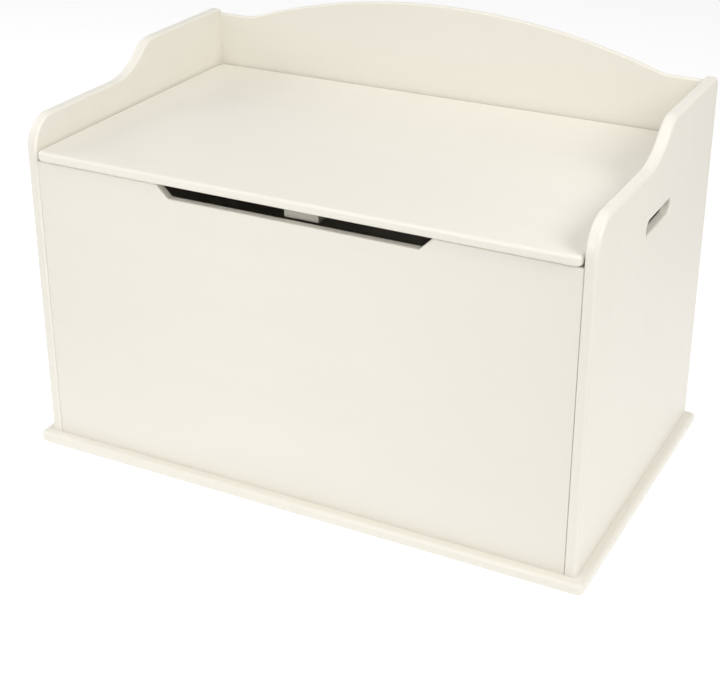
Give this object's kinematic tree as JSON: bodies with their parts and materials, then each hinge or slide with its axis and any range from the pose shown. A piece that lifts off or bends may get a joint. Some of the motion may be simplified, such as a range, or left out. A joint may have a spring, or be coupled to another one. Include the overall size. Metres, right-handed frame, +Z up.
{
  "type": "toy box",
  "caption": "Painted wooden toy box with a hinged seat lid on friction stays, arched back, arm-shaped sides with hand slots and a finger cut-out under the lid.",
  "frame": {"origin": "on the floor under the middle of the base panel's bounding box", "axes": "+X across the box to its right-hand side as seen from the front, +Y to the back panel, +Z up"},
  "size_m": [0.915, 0.537, 0.641],
  "materials": {
    "painted_wood": "satin cream paint over smooth board",
    "bright_steel": "zinc plated",
    "zinc": "die cast, dull",
    "nylon": "natural nylon",
    "beech": "bare, fluted dowel wood",
    "soft_rubber": "matt"
  },
  "bodies": {
    "case": {"base_panel": "painted_wood", "left_side_panel": "painted_wood", "right_side_panel": "painted_wood", "front_panel": "painted_wood", "back_panel": "painted_wood", "dowels": "beech", "cam_bolts": "bright_steel", "cam_locks": "zinc", "base_screws": "bright_steel", "back_panel_screws": "bright_steel", "pivot_bushings": "nylon", "left_stay_case_bracket": "bright_steel", "right_stay_case_bracket": "bright_steel", "stay_case_screws": "bright_steel", "stay_case_rivets": "bright_steel", "stay_case_washers": "nylon"},
    "lid": {"lid_panel": "painted_wood", "lid_block": "painted_wood", "lid_block_screws": "bright_steel", "lid_bumpers": "soft_rubber", "lid_pivot_pins": "bright_steel", "left_stay_lid_bracket": "bright_steel", "right_stay_lid_bracket": "bright_steel", "stay_lid_screws": "bright_steel", "stay_lid_rivets": "bright_steel", "stay_lid_washers": "nylon"},
    "left_lower_arm": {"left_stay_lower_arm": "bright_steel", "left_stay_knee_rivet": "bright_steel", "left_stay_knee_washer": "nylon"},
    "left_upper_arm": {"left_stay_upper_arm": "bright_steel"},
    "right_lower_arm": {"right_stay_lower_arm": "bright_steel", "right_stay_knee_rivet": "bright_steel", "right_stay_knee_washer": "nylon"},
    "right_upper_arm": {"right_stay_upper_arm": "bright_steel"}
  },
  "joints": [
    {"name": "lid_hinge", "type": "hinge", "parent": "case", "child": "lid", "pos_m": [0, 0.2495, 0.4865], "axis": [-1, 0, 0], "range_deg": [0, 85]},
    {"name": "left_case_rivet_joint", "type": "hinge", "parent": "case", "child": "left_lower_arm", "pos_m": [-0.4204, 0.2435, 0.3625], "axis": [-1, 0, 0], "range_deg": [0, 85]},
    {"name": "left_lid_rivet_joint", "type": "hinge", "parent": "lid", "child": "left_upper_arm", "pos_m": [-0.4173, 0.1195, 0.469], "axis": [-1, 0, 0], "range_deg": [-85, 0]},
    {"name": "right_case_rivet_joint", "type": "hinge", "parent": "case", "child": "right_lower_arm", "pos_m": [0.4204, 0.2435, 0.3625], "axis": [-1, 0, 0], "range_deg": [0, 85]},
    {"name": "right_lid_rivet_joint", "type": "hinge", "parent": "lid", "child": "right_upper_arm", "pos_m": [0.4173, 0.1195, 0.469], "axis": [-1, 0, 0], "range_deg": [-85, 0]}
  ],
  "couplings": [
    {"joint": "left_case_rivet_joint", "follows": "lid_hinge", "ratio": 1},
    {"joint": "left_lid_rivet_joint", "follows": "lid_hinge", "ratio": -1},
    {"joint": "right_case_rivet_joint", "follows": "lid_hinge", "ratio": 1},
    {"joint": "right_lid_rivet_joint", "follows": "lid_hinge", "ratio": -1}
  ]
}
